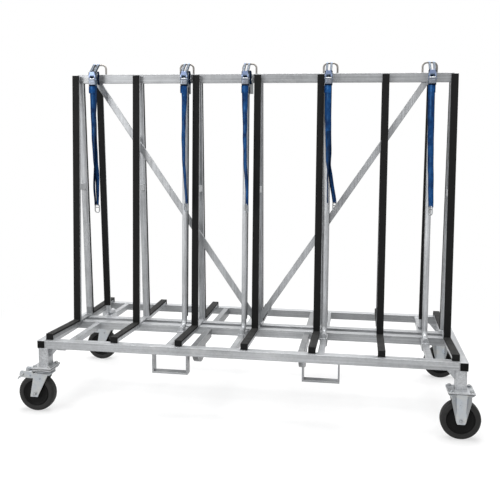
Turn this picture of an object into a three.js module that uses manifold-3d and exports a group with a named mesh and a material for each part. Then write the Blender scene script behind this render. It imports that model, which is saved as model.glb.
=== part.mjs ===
import * as THREE from "three";
import { mergeVertices } from "three/addons/utils/BufferGeometryUtils.js";
import Module from "manifold-3d";

const wasm = await Module();
wasm.setup();

// A two-sided cart for sheet goods. Sizes in millimetres: X to the right, Y to the rear, Z up from the floor.

// Base frame of square tube
const TUBE = 40;
const BASE_LENGTH = 2120;
const BASE_WIDTH = 800;
const RAIL_TOP = 370;
const MIDDLE_GAP = 42;
const MIDDLE_RISE = 5;
const GAP = 0.3;

// Fork loops and fork beams for lifting
const LOOP_X = [-368, 376];
const LOOP_WIDE = 180;
const LOOP_DROP = 94;
const LOOP_BAR = 8;
const BEAM_X = [-259, 276];
const BEAM_WIDE = 30;
const BEAM_TALL = 45;
const BEAM_DROP = 3;
const LUG_Y = 256;
const LUG_R = 79;
const LUG_DROP = 33;

// A-frame ribs with their rubber strips
const TOP_Z = 1738;
const TOP_TALL = 46;
const TOP_DEEP = 20;
const RIB_PITCH = 331;
const RIB_WIDE = 30;
const RIB_DEEP = 20;
const RIB_DROP = 7;
const STRIP_WIDE = 36;
const BACK_STRIP = 6;
const ARM_STRIP = 10;
const ARM_CAP = 5;
const ARM_SETBACK = 20;
const TIE_THICK = 6;
const SPACER_Z = 1127;
const SPACER_TALL = 34;

// Brace of flat bar in the middle plane
const BRACE_WIDE = 32;
const BRACE_THICK = 10;
const BRACE_FOOT_X = [9, -14];
const BRACE_LEFT_INSET = 115;
const BRACE_RIGHT_INSET = 142;

// Retaining bars on their guides
const LEFT_STATION_INSET = 109;
const RIGHT_STATION_INSET = 114;
const INNER_STATION_X = [-388, -60, 372];
const FRONT_BARS = [2, 3, 4, 5];
const REAR_BARS = [1, 5];
const GUIDE_WIDE = 28;
const GUIDE_TALL = 30;
const BAR_R = 14;
const BAR_SET = -2;
const BEND_R = 40;
const SLEEVE_WALL = 4;
const SLEEVE_PLAY = 0.5;

// Bows on the top rail
const BOW_SHIFT = [14, -2, 11, 6, -8];
const BOW_WIDE = 82;
const BOW_TALL = 58;
const BOW_WIRE_R = 5;

// Buckles on the bars, and their straps
const HEAD_DROP = 3;
const BUCKLE_WIDE = 39;
const BUCKLE_TALL = 72;
const BUCKLE_RISE = 7;
const BUCKLE_DEEP = 19;
const BUCKLE_BITE = 0.85;
const BUCKLE_PLATE = 8;
const CHEEK = 1.5;
const PIVOT_DROP = 39;
const PIVOT_COVER = 3.5;
const AXLE_R = 3;
const BARREL_R = 6;
const RUNNING = 0.1;
const STRAP_WIDE = 35;
const STRAP_THICK = 3;
const STRAP_DROP = 10;
const STRAP_LENGTH = 651;
const RING_R = 19;
const RING_WIRE_R = 3;

// Legs and castors
const LEG = 50;
const LEG_INSET = 6;
const PLATE_WIDE = 122;
const SWIVEL_PLATE_WIDE = 104;
const PLATE_DEEP = 98;
const PLATE_THICK = 8;
const CASTOR_PLATE_INSET = 4;
const GUSSET_WIDE = 46;
const GUSSET_TALL = 52;
const GUSSET_THICK = 8;
const WHEEL_R = 95;
const WHEEL_WIDE = 48;
const HUB_WIDE = 52;
const HUB_R = 26;
const AXLE_BOLT_R = 6.5;
const TRAIL = 44;
const FIXED_SHIFT = 4;
const FORK_THICK = 5;
const FORK_BELOW = 16;
const EAR_REACH = 80;
const HEAD_R = 37;
const HEAD_TALL = 21;
const FIXED_FORK_WIDE = 90;
const PEDAL_WIDE = 40;
const PEDAL_PIN_SET = 26;
const PEDAL_OVERHANG = 4;

// Positions that follow from the sizes
const HALF_LENGTH = BASE_LENGTH / 2;
const HALF_WIDTH = BASE_WIDTH / 2;
const RAIL_LOW = RAIL_TOP - TUBE;
const RAIL_END = HALF_LENGTH - TUBE;
const MIDDLE_IN = MIDDLE_GAP / 2;
const MIDDLE_OUT = MIDDLE_IN + TUBE;
const MIDDLE_TOP = RAIL_TOP + MIDDLE_RISE;
const END_RIB = RAIL_END - RIB_WIDE / 2 - 1;
const LEFT_STATION_X = LEFT_STATION_INSET - END_RIB;
const STATION_X = [LEFT_STATION_X, ...INNER_STATION_X, END_RIB - RIGHT_STATION_INSET];
const BRACE_LEFT = BRACE_LEFT_INSET - END_RIB;
const BRACE_RIGHT = END_RIB - BRACE_RIGHT_INSET;
const RIB_X = [-END_RIB, -2 * RIB_PITCH, -RIB_PITCH, 0, RIB_PITCH, 2 * RIB_PITCH, END_RIB];
const BACK_STACK = BACK_STRIP + RIB_DEEP;
const ARM_STACK = ARM_STRIP + RIB_DEEP;
const FOOT_OUT = MIDDLE_OUT + GAP + BACK_STACK;
const LEAN_RUN = FOOT_OUT - BACK_STACK - TOP_DEEP / 2 - 1;
const LEAN = Math.atan(LEAN_RUN / (TOP_Z - RAIL_TOP - ARM_STACK));
const SIN = Math.sin(LEAN);
const COS = Math.cos(LEAN);
const ARM_TO_RAIL = (HALF_WIDTH - TUBE - FOOT_OUT - ARM_STACK * SIN) / COS;
const FOOT_Z = RAIL_TOP + GAP + ARM_STACK * COS - ARM_TO_RAIL * SIN;
const ARM_LENGTH = (HALF_WIDTH - ARM_SETBACK - ARM_CAP - GAP - FOOT_OUT) / COS;
const BACK_HEIGHT = (TOP_Z - RIB_DROP - FOOT_Z) / COS;
const GUIDE_TOP = RAIL_TOP - 1;
const SLEEVE_OUT = SLEEVE_WALL + SLEEVE_PLAY;
const BAR_LEG_Z = GUIDE_TOP + SLEEVE_OUT + BAR_R - SLEEVE_WALL;
const HEAD_Z = TOP_Z - HEAD_DROP;
const HEAD_OUT = FOOT_OUT + BAR_SET * COS - ((HEAD_Z - FOOT_Z) / COS) * SIN;
const BUCKLE_TOP = TOP_Z + BUCKLE_RISE;
const BUCKLE_LOW = BUCKLE_TOP - BUCKLE_TALL;
const BUCKLE_BACK = HEAD_OUT + BAR_R - BUCKLE_BITE;
const BUCKLE_FRONT = BUCKLE_BACK + BUCKLE_DEEP;
const PIVOT_Z = BUCKLE_TOP - PIVOT_DROP;
const PIVOT_OUT = BUCKLE_FRONT - PIVOT_COVER;
const STRAP_TOP = PIVOT_Z - STRAP_DROP;
const LEG_X = HALF_LENGTH - LEG_INSET - LEG / 2;
const LEG_Y = HALF_WIDTH - LEG / 2;
const CASTOR_Y = LEG_Y + 7;
const CROWN_LOW = 2 * WHEEL_R + 5;
const CROWN_TOP = CROWN_LOW + FORK_THICK + 1;
const PLATE_LOW = CROWN_TOP + HEAD_TALL;
const CASTOR_HEIGHT = PLATE_LOW + PLATE_THICK;
const CHEEK_IN = HUB_WIDE / 2 + 0.5;
const CHEEK_OUT = CHEEK_IN + FORK_THICK;
const PEDAL_REACH = TRAIL + WHEEL_R + PEDAL_OVERHANG;
const LEFT_REACH = LEG_X + PEDAL_REACH;
const RIGHT_REACH = LEG_X + FIXED_SHIFT + WHEEL_R;

// Solids and their joins
function toSolid(geometry) {
  const bare = geometry.clone();
  bare.deleteAttribute("normal");
  bare.deleteAttribute("uv");
  const merged = mergeVertices(bare, 1e-4);
  const vertProperties = merged.attributes.position.array;
  const triVerts = new Uint32Array(merged.index.array);
  return new wasm.Manifold(new wasm.Mesh({ numProp: 3, vertProperties, triVerts }));
}

function toGeometry(solid) {
  const mesh = solid.getMesh();
  const geometry = new THREE.BufferGeometry();
  geometry.setAttribute("position", new THREE.BufferAttribute(mesh.vertProperties, 3));
  geometry.setIndex(new THREE.BufferAttribute(mesh.triVerts, 1));
  geometry.computeVertexNormals();
  return geometry;
}

function join(...geometries) {
  return toGeometry(geometries.map(toSolid).reduce((all, one) => all.add(one)));
}

function cut(geometry, ...tools) {
  return toGeometry(tools.map(toSolid).reduce((all, one) => all.subtract(one), toSolid(geometry)));
}

// Basic shapes
function box(x0, x1, y0, y1, z0, z1) {
  const geometry = new THREE.BoxGeometry(Math.abs(x1 - x0), Math.abs(y1 - y0), Math.abs(z1 - z0));
  return geometry.translate((x0 + x1) / 2, (y0 + y1) / 2, (z0 + z1) / 2);
}

function outline(points) {
  return new THREE.Shape(points.map(([a, b]) => new THREE.Vector2(a, b)));
}

// A profile drawn in Y and Z, spread over a width in X
function prismX(points, x, wide) {
  const geometry = new THREE.ExtrudeGeometry(outline(points), { depth: wide, bevelEnabled: false });
  const across = new THREE.Vector3(1, 0, 0);
  const turn = new THREE.Matrix4();
  turn.makeBasis(new THREE.Vector3(0, 1, 0), new THREE.Vector3(0, 0, 1), across);
  return geometry.applyMatrix4(turn).translate(x - wide / 2, 0, 0);
}

// A profile drawn in X and Z, spread over a thickness in Y
function prismY(points, y, thick) {
  const geometry = new THREE.ExtrudeGeometry(outline(points), { depth: thick, bevelEnabled: false });
  return geometry.rotateX(Math.PI / 2).translate(0, y + thick / 2, 0);
}

function rodX(x0, x1, y, z, r) {
  const geometry = new THREE.CylinderGeometry(r, r, x1 - x0, 24);
  return geometry.rotateZ(Math.PI / 2).translate((x0 + x1) / 2, y, z);
}

function rodY(y0, y1, x, z, r) {
  return new THREE.CylinderGeometry(r, r, y1 - y0, 24).translate(x, (y0 + y1) / 2, z);
}

function rodZ(z0, z1, x, y, r) {
  const geometry = new THREE.CylinderGeometry(r, r, z1 - z0, 32);
  return geometry.rotateX(Math.PI / 2).translate(x, y, (z0 + z1) / 2);
}

// Round tube along a line of points
function roundTube(points, r) {
  const path = new THREE.CurvePath();
  for (let i = 1; i < points.length; i++) path.add(new THREE.LineCurve3(points[i - 1], points[i]));
  const ring = [];
  for (let i = 0; i < 16; i++) {
    const turn = (i / 16) * 2 * Math.PI;
    ring.push([r * Math.cos(turn), r * Math.sin(turn)]);
  }
  const steps = { steps: points.length - 1, extrudePath: path, bevelEnabled: false };
  return new THREE.ExtrudeGeometry(outline(ring), steps);
}

// A point of a leaning rack: out along the arm and up along the back, from the corner of the rubber
function rack(side, out, up) {
  return [side * (FOOT_OUT + out * COS - up * SIN), FOOT_Z + out * SIN + up * COS];
}

function upAt(z) {
  return (z - FOOT_Z) / COS;
}

const cart = new THREE.Group();
cart.position.x = (LEFT_REACH - RIGHT_REACH) / 2;

const LOOKS = {
  zinc: { color: 0xc3c7cb, roughness: 0.45, metalness: 0.7 },
  bright: { color: 0xccd3d9, roughness: 0.3, metalness: 0.9 },
  rubber: { color: 0x1b1b1c, roughness: 0.85, metalness: 0 },
  tyre: { color: 0x202022, roughness: 0.8, metalness: 0 },
  webbing: { color: 0x2a5fb0, roughness: 0.9, metalness: 0 },
};

function part(name, geometry, look) {
  const mesh = new THREE.Mesh(geometry, new THREE.MeshStandardMaterial(LOOKS[look]));
  mesh.name = name;
  cart.add(mesh);
}

// Half-round lug that hangs under a fork beam
function beamLug(x) {
  const half = BEAM_WIDE / 2;
  const z = RAIL_TOP - LUG_DROP;
  const disc = rodX(x - half, x + half, -LUG_Y, z, LUG_R);
  return cut(disc, box(x - half - 1, x + half + 1, -LUG_Y - LUG_R - 1, -LUG_Y + LUG_R + 1, z, z + LUG_R + 1));
}

// Long rails of the base, each with its half of the fork beams, the front one also with its lugs and fork loops
function longRail(side) {
  const inner = HALF_WIDTH - TUBE;
  const pieces = [box(-RAIL_END, RAIL_END, side * inner, side * HALF_WIDTH, RAIL_LOW, RAIL_TOP)];
  const top = RAIL_TOP - BEAM_DROP;
  for (const x of BEAM_X) {
    const half = BEAM_WIDE / 2;
    const near = MIDDLE_OUT + GAP;
    pieces.push(box(x - half, x + half, side * near, side * (inner + 1), top - BEAM_TALL, top));
  }
  return join(...pieces);
}

function forkLoop(x) {
  const wide = LOOP_WIDE / 2;
  const inner = wide - LOOP_BAR;
  const top = RAIL_LOW + 1;
  const low = RAIL_LOW - LOOP_DROP;
  const left = [[x - inner, low + LOOP_BAR], [x - inner, top], [x - wide, top], [x - wide, low]];
  const right = [[x + wide, low], [x + wide, top], [x + inner, top], [x + inner, low + LOOP_BAR]];
  return prismY([...left, ...right], TUBE / 2 - HALF_WIDTH, TUBE);
}

part("front_rail", join(longRail(-1), ...BEAM_X.map(beamLug), ...LOOP_X.map(forkLoop)), "zinc");
part("rear_rail", longRail(1), "zinc");

// Middle rails, each with its bar guides
function middleRail(side) {
  const reach = HALF_WIDTH - TUBE - GAP;
  const end = RAIL_END - GAP;
  const pieces = [box(-end, end, side * MIDDLE_IN, side * MIDDLE_OUT, MIDDLE_TOP - TUBE, MIDDLE_TOP)];
  for (const x of STATION_X) {
    const half = GUIDE_WIDE / 2;
    const low = GUIDE_TOP - GUIDE_TALL;
    pieces.push(box(x - half, x + half, side * (MIDDLE_OUT - 1), side * reach, low, GUIDE_TOP));
  }
  return join(...pieces);
}

part("front_middle_rail", middleRail(-1), "zinc");
part("rear_middle_rail", middleRail(1), "zinc");

// End frames: end rail, two legs with gussets, castor plates
function endFrame(end) {
  const inner = end * RAIL_END;
  const pieces = [box(inner, end * HALF_LENGTH, -HALF_WIDTH, HALF_WIDTH, RAIL_LOW, RAIL_TOP)];
  const x = end * LEG_X;
  for (const side of [-1, 1]) {
    const y = side * LEG_Y;
    pieces.push(box(x - LEG / 2, x + LEG / 2, y - LEG / 2, y + LEG / 2, CASTOR_HEIGHT, RAIL_LOW));
    const wide = (end < 0 ? SWIVEL_PLATE_WIDE : PLATE_WIDE) / 2;
    const deep = PLATE_DEEP / 2;
    const plateY = side * CASTOR_Y;
    const top = CASTOR_HEIGHT + PLATE_THICK;
    pieces.push(box(x - wide, x + wide, plateY - deep, plateY + deep, CASTOR_HEIGHT, top));
    const face = x - end * (LEG / 2 - 1);
    const tip = face - end * GUSSET_WIDE;
    const gusset = [[face, RAIL_LOW], [tip, RAIL_LOW], [face, RAIL_LOW - GUSSET_TALL]];
    pieces.push(prismY(gusset, y, GUSSET_THICK));
    if (end < 0) {
      const low = PLATE_LOW - 2;
      const w = wide - CASTOR_PLATE_INSET;
      const d = deep - CASTOR_PLATE_INSET;
      pieces.push(box(x - w, x + w, plateY - d, plateY + d, low, CASTOR_HEIGHT + 1));
    }
  }
  return join(...pieces);
}

part("left_end_frame", endFrame(-1), "zinc");
part("right_end_frame", endFrame(1), "zinc");

// Buckle body at the front: back plate, two cheeks, upper plate, lever axle and two prongs towards the bow
function buckle(x) {
  const half = BUCKLE_WIDE / 2;
  const plate = BUCKLE_BACK + BUCKLE_PLATE;
  const pieces = [box(x - half, x + half, -plate, -BUCKLE_BACK, BUCKLE_LOW, BUCKLE_TOP)];
  for (const end of [-1, 1]) {
    const outer = x + end * half;
    pieces.push(box(outer, outer - end * CHEEK, -BUCKLE_FRONT, -BUCKLE_BACK, BUCKLE_LOW, BUCKLE_TOP));
    const bowTop = TOP_Z + BOW_TALL;
    const top = [[-8, bowTop - 12], [-8, bowTop - 3], [-15, bowTop - 3]];
    const root = [[-plate - 6, BUCKLE_TOP + 4], [-plate - 6, BUCKLE_TOP - 6], [-plate + 2, BUCKLE_TOP - 6]];
    pieces.push(prismX([...top, ...root], x + end * 11, 11));
  }
  pieces.push(box(x - half, x + half, -BUCKLE_FRONT + 2, -BUCKLE_BACK, PIVOT_Z + 16, BUCKLE_TOP));
  pieces.push(rodX(x - half, x + half, -PIVOT_OUT, PIVOT_Z, AXLE_R));
  return join(...pieces);
}

// Top rail with its bows; the first buckle is held on a block in front of the rail
function bow(x) {
  const r = BOW_WIDE / 2 - BOW_WIRE_R;
  const corner = 22;
  const high = TOP_Z + BOW_TALL - BOW_WIRE_R;
  const pieces = [rodX(x - r + corner, x + r - corner, 0, high, BOW_WIRE_R)];
  for (const end of [-1, 1]) {
    pieces.push(rodZ(TOP_Z - 1, high - corner, x + end * r, 0, BOW_WIRE_R));
    const bend = [];
    for (let i = 0; i <= 6; i++) {
      const turn = (i / 6) * (Math.PI / 2);
      const out = r - corner + corner * Math.cos(turn);
      bend.push(new THREE.Vector3(x + end * out, 0, high - corner + corner * Math.sin(turn)));
    }
    pieces.push(roundTube(bend, BOW_WIRE_R));
  }
  return join(...pieces);
}

const rail = box(-END_RIB, END_RIB, -TOP_DEEP / 2, TOP_DEEP / 2, TOP_Z - TOP_TALL, TOP_Z);
const first = STATION_X[0];
const block = box(first - 12, first + 12, -BUCKLE_BACK - 1, 1 - TOP_DEEP / 2, BUCKLE_LOW + 20, HEAD_Z - 4);
part("top_rail", join(rail, ...STATION_X.map((x, i) => bow(x + BOW_SHIFT[i])), block, buckle(first)), "zinc");

// Crossed braces, joined at the foot into a V
function braces() {
  const foot = MIDDLE_TOP + TIE_THICK + 2 * GAP;
  const top = TOP_Z - TOP_TALL - GAP;
  const bar = (end, i) => {
    const x = BRACE_FOOT_X[i];
    const half = (BRACE_WIDE / 2) * (Math.hypot(end - x, top - foot) / (top - foot));
    return [[x - half, foot], [x + half, foot], [end + half, top], [end - half, top]];
  };
  return join(...[BRACE_LEFT, BRACE_RIGHT].map((end, i) => prismY(bar(end, i), 0, BRACE_THICK)));
}

part("cross_brace", braces(), "zinc");

// A-frame ribs: a front and a rear L of tube, with a tie plate over the middle rails and a spacer halfway up
function ribSide(x, side) {
  const low = -ARM_STACK;
  const back = -BACK_STACK;
  const corner = [rack(side, back, low), rack(side, ARM_LENGTH, low), rack(side, ARM_LENGTH, -ARM_STRIP)];
  const upright = [rack(side, -BACK_STRIP, -ARM_STRIP), rack(side, -BACK_STRIP, BACK_HEIGHT)];
  return prismX([...corner, ...upright, rack(side, back, BACK_HEIGHT)], x, RIB_WIDE);
}

function stripSide(x, side) {
  const back = GAP - BACK_STRIP;
  const under = GAP - ARM_STRIP;
  const end = ARM_LENGTH + GAP;
  const cap = end + ARM_CAP;
  const arm = [[back, under], [end, under], [end, -ARM_STACK], [cap, -ARM_STACK], [cap, 0]];
  const upright = [[0, 0], [0, BACK_HEIGHT], [back, BACK_HEIGHT]];
  return prismX([...arm, ...upright].map(([out, up]) => rack(side, out, up)), x, STRIP_WIDE);
}

RIB_X.forEach((x, i) => {
  const half = RIB_WIDE / 2;
  const low = MIDDLE_TOP + GAP;
  const reach = MIDDLE_OUT + RIB_DEEP / 2;
  const tie = box(x - half, x + half, -reach, reach, low, low + TIE_THICK);
  const inner = rack(1, 2 - BACK_STACK, upAt(SPACER_Z))[0];
  const spacerTop = SPACER_Z + SPACER_TALL / 2;
  const spacer = box(x - half + 2, x + half - 2, -inner, inner, spacerTop - SPACER_TALL, spacerTop);
  part(`a_frame_${i + 1}`, join(ribSide(x, -1), ribSide(x, 1), tie, spacer), "zinc");
  part(`front_strip_${i + 1}`, stripSide(x, -1), "rubber");
  part(`rear_strip_${i + 1}`, stripSide(x, 1), "rubber");
});

// Retaining bars: leaning tube, bent foot, sleeve around the guide
function bar(x, side) {
  const at = (y, z) => new THREE.Vector3(x, y, z);
  const footZ = BAR_LEG_Z + BEND_R;
  const foot = rack(side, BAR_SET, upAt(footZ))[0];
  const centre = foot + side * BEND_R;
  const upright = [rack(side, BAR_SET, upAt(HEAD_Z)), rack(side, BAR_SET, upAt(footZ - 1))];
  const bend = [];
  for (let i = 0; i <= 6; i++) {
    const turn = (i / 6) * (Math.PI / 2);
    bend.push([centre - side * BEND_R * Math.cos(turn), footZ - BEND_R * Math.sin(turn)]);
  }
  const leg = [[centre - side, BAR_LEG_Z], [centre + side * 25, BAR_LEG_Z]];
  const tubes = [upright, bend, leg].map((line) => roundTube(line.map(([y, z]) => at(y, z)), BAR_R));
  const half = GUIDE_WIDE / 2 + SLEEVE_PLAY;
  const outer = half + SLEEVE_WALL;
  const low = GUIDE_TOP - GUIDE_TALL;
  const rear = foot - side * 12;
  const far = centre + side * 35;
  const sleeve = box(x - outer, x + outer, rear, far, low - SLEEVE_OUT, GUIDE_TOP + SLEEVE_OUT);
  const play = [low - SLEEVE_PLAY, GUIDE_TOP + SLEEVE_PLAY];
  const bore = box(x - half, x + half, rear - side, far + side, ...play);
  return cut(join(...tubes, sleeve), bore);
}

for (const n of FRONT_BARS) {
  const x = STATION_X[n - 1];
  part(`front_bar_${n}`, join(bar(x, -1), buckle(x)), "zinc");
}
for (const n of REAR_BARS) part(`rear_bar_${n}`, bar(STATION_X[n - 1], 1), "zinc");

// Buckle levers: a barrel on the axle between the cheeks, and a thumb plate hanging from it
function lever(x) {
  const half = BUCKLE_WIDE / 2 - CHEEK - 0.6;
  const out = PIVOT_OUT;
  const back = [[2.5 - out, PIVOT_Z], [2.5 - out, BUCKLE_LOW + 5]];
  const front = [[-out - 4, BUCKLE_LOW + 2], [-out - 5.5, BUCKLE_LOW + 12], [-out - 5.5, PIVOT_Z]];
  const barrel = rodX(x - half, x + half, -out, PIVOT_Z, BARREL_R);
  const solid = join(barrel, prismX([...back, ...front], x, 2 * half));
  return cut(solid, rodX(x - half - 1, x + half + 1, -out, PIVOT_Z, AXLE_R + RUNNING));
}

// Straps of webbing in front of the bars; the first one hangs plumb from the top rail
const STRAP_LOW = STRAP_TOP - STRAP_LENGTH;

// Depth at which a strap runs, just in front of the back plate of its buckle at the upper end
function strapY(z, plumb) {
  const lean = plumb ? 0 : (STRAP_TOP - z) * Math.tan(LEAN);
  return BUCKLE_BACK + BUCKLE_PLATE + GAP + lean;
}

function strap(x, plumb) {
  const near = [STRAP_LOW, STRAP_TOP].map((z) => [-strapY(z, plumb), z]);
  const far = near.map(([y, z]) => [y - STRAP_THICK, z]).reverse();
  return prismX([...near, ...far], x, STRAP_WIDE);
}

function strapRing(x, plumb) {
  const z = STRAP_LOW - GAP - RING_R - RING_WIRE_R;
  const y = -strapY(z, plumb) - STRAP_THICK / 2;
  return new THREE.TorusGeometry(RING_R, RING_WIRE_R, 6, 20).rotateX(Math.PI / 2).translate(x, y, z);
}

STATION_X.forEach((x, i) => {
  const plumb = !FRONT_BARS.includes(i + 1);
  part(`buckle_lever_${i + 1}`, lever(x), "bright");
  part(`strap_${i + 1}`, strap(x, plumb), "webbing");
  part(`strap_ring_${i + 1}`, strapRing(x, plumb), "bright");
});

// Castor forks, both cheeks on one crown and one axle
function forkCheeks(x, y, axleX, profile) {
  const points = profile.map(([a, z]) => [x + a, z]);
  const middle = (CHEEK_IN + CHEEK_OUT) / 2;
  const axleEnd = CHEEK_OUT + 6;
  return [
    prismY(points, y - middle, FORK_THICK),
    prismY(points, y + middle, FORK_THICK),
    rodY(y - axleEnd, y + axleEnd, axleX, WHEEL_R, AXLE_BOLT_R),
  ];
}

function swivelFork(y) {
  const x = -LEG_X;
  const low = WHEEL_R - FORK_BELOW;
  const tip = -TRAIL - EAR_REACH;
  const rear = [[22, CROWN_TOP], [22, CROWN_LOW - 9], [17 - TRAIL, WHEEL_R - 8], [14 - TRAIL, low]];
  const lower = [[-TRAIL - 24, low], [-TRAIL - 24, low + 8], [-TRAIL - 8, CROWN_LOW - 19]];
  const ear = [[tip + 8, CROWN_LOW - 17], [tip, CROWN_LOW - 7], [tip + 2, CROWN_TOP + 3]];
  ear.push([tip + 9, CROWN_TOP + 10], [-TRAIL - 14, CROWN_TOP + 10]);
  const profile = [...rear, ...lower, ...ear, [-TRAIL - 4, CROWN_TOP]];
  const cheeks = forkCheeks(x, y, x - TRAIL, profile);
  const crown = box(x - TRAIL - 4, x + HEAD_R, y - CHEEK_OUT, y + CHEEK_OUT, CROWN_LOW, CROWN_TOP);
  return join(...cheeks, crown, rodZ(CROWN_TOP - 1, PLATE_LOW - 2.5, x, y, HEAD_R));
}

function fixedFork(y) {
  const x = LEG_X + FIXED_SHIFT;
  const low = WHEEL_R - FORK_BELOW;
  const half = FIXED_FORK_WIDE / 2;
  const right = [[half, CROWN_TOP], [half, CROWN_LOW - 9], [22, WHEEL_R - 6], [17, low]];
  const left = right.map(([a, z]) => [-a, z]).reverse();
  const cheeks = forkCheeks(x, y, x, [...right, ...left]);
  const crown = box(x - half, x + half, y - CHEEK_OUT, y + CHEEK_OUT, CROWN_LOW, PLATE_LOW + 1);
  const w = PLATE_WIDE / 2 - CASTOR_PLATE_INSET;
  const d = PLATE_DEEP / 2 - CASTOR_PLATE_INSET;
  const plate = box(LEG_X - w, LEG_X + w, y - d, y + d, PLATE_LOW, CASTOR_HEIGHT);
  return join(...cheeks, crown, plate);
}

// Wheels: hub, thin web, tyre with rounded shoulders
function wheel(x, y) {
  const tread = WHEEL_WIDE / 2;
  const bore = AXLE_BOLT_R + RUNNING;
  const side = [[bore, HUB_WIDE / 2], [HUB_R, HUB_WIDE / 2], [HUB_R + 4, 14], [WHEEL_R - 28, 14]];
  side.push([WHEEL_R - 24, tread - 2], [WHEEL_R - 8, tread], [WHEEL_R - 2, tread - 7], [WHEEL_R, tread - 16]);
  const other = side.map(([r, h]) => [r, -h]).reverse();
  const profile = [...side, ...other, side[0]].reverse().map(([r, h]) => new THREE.Vector2(r, h));
  return new THREE.LatheGeometry(profile, 32).translate(x, y, WHEEL_R);
}

// Brake pedals between the ears of the swivel forks
function pedal(y) {
  const x = -LEG_X;
  const pin = [x - TRAIL - PEDAL_PIN_SET, CROWN_TOP - 3];
  const middle = pin[0] - 34;
  const tip = x - PEDAL_REACH;
  const upper = [[pin[0], pin[1] + 6], [middle, pin[1] - 4], [tip, pin[1] - 30]];
  const under = [[tip, pin[1] - 38], [middle, pin[1] - 12], [pin[0], pin[1] - 5]];
  const plate = prismY([...upper, ...under], y, PEDAL_WIDE);
  return join(plate, rodY(y - CHEEK_IN + 0.5, y + CHEEK_IN - 0.5, ...pin, 7));
}

for (const [name, side] of [["front", -1], ["rear", 1]]) {
  const y = side * CASTOR_Y;
  part(`${name}_left_fork`, swivelFork(y), "bright");
  part(`${name}_right_fork`, fixedFork(y), "bright");
  part(`${name}_left_wheel`, wheel(-LEG_X - TRAIL, y), "tyre");
  part(`${name}_right_wheel`, wheel(LEG_X + FIXED_SHIFT, y), "tyre");
  part(`${name}_left_pedal`, pedal(y), "bright");
}

export default cart;
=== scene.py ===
import math

import bmesh
import bpy
from mathutils import Matrix, Vector

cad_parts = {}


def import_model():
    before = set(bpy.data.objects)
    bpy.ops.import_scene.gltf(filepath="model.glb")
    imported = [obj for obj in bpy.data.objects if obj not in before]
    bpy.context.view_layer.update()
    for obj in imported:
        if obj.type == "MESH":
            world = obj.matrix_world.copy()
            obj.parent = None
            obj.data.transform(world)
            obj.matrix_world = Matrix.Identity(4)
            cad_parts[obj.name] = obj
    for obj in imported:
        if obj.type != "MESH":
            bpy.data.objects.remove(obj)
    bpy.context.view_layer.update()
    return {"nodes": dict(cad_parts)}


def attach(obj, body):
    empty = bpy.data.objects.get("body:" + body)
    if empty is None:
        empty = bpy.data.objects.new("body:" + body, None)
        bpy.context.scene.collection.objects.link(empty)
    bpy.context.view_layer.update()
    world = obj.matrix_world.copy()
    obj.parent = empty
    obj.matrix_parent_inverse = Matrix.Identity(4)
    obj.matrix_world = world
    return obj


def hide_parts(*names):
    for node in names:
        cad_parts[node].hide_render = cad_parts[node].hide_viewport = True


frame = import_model()
scene = bpy.context.scene

# Sizes of the part in millimetres, before it is centred in X
SHIFT = 22.0
STATION_X = [-895, -388, -60, 372, 890]
FRONT_BARS = [2, 3, 4, 5]
REAR_BARS = [1, 5]
LEAN = math.radians(2.153)
RIB_X = [-1004, -662, -331, 0, 331, 662, 1004]
TOP_Z = 1738
BOW_SHIFT = [14, -2, 11, 6, -8]
PIVOT_OUT = 63.39
CASTOR_Y = 382
LEG_X = 1029
LEFT_WHEEL_X = -1073
RIGHT_WHEEL_X = 1033
WHEEL_R = 95


def at(x, y, z):
    return Vector(((x + SHIFT) / 1000, y / 1000, z / 1000))


# ---------------------------------------------------------------- camera

def camera():
    data = bpy.data.cameras.new("camera")
    data.sensor_fit = "HORIZONTAL"
    data.sensor_width = 36
    data.lens = 42.756
    data.shift_x = -0.07374
    data.shift_y = -0.08713
    data.clip_end = 100
    yaw, pitch, roll = 0.12572, -0.09558, 0.00978
    ahead = Vector((-math.sin(yaw) * math.cos(pitch), math.cos(yaw) * math.cos(pitch), math.sin(pitch)))
    right = Vector((math.cos(yaw), math.sin(yaw), 0))
    up = right.cross(ahead)
    right, up = (
        math.cos(roll) * right + math.sin(roll) * up,
        math.cos(roll) * up - math.sin(roll) * right,
    )
    turn = Matrix((right, up, -ahead)).transposed().to_4x4()
    obj = bpy.data.objects.new("camera", data)
    scene.collection.objects.link(obj)
    obj.matrix_world = Matrix.Translation(at(552.92, -3142.92, 1343.38)) @ turn
    scene.camera = obj


camera()

# ---------------------------------------------------------------- materials


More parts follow.
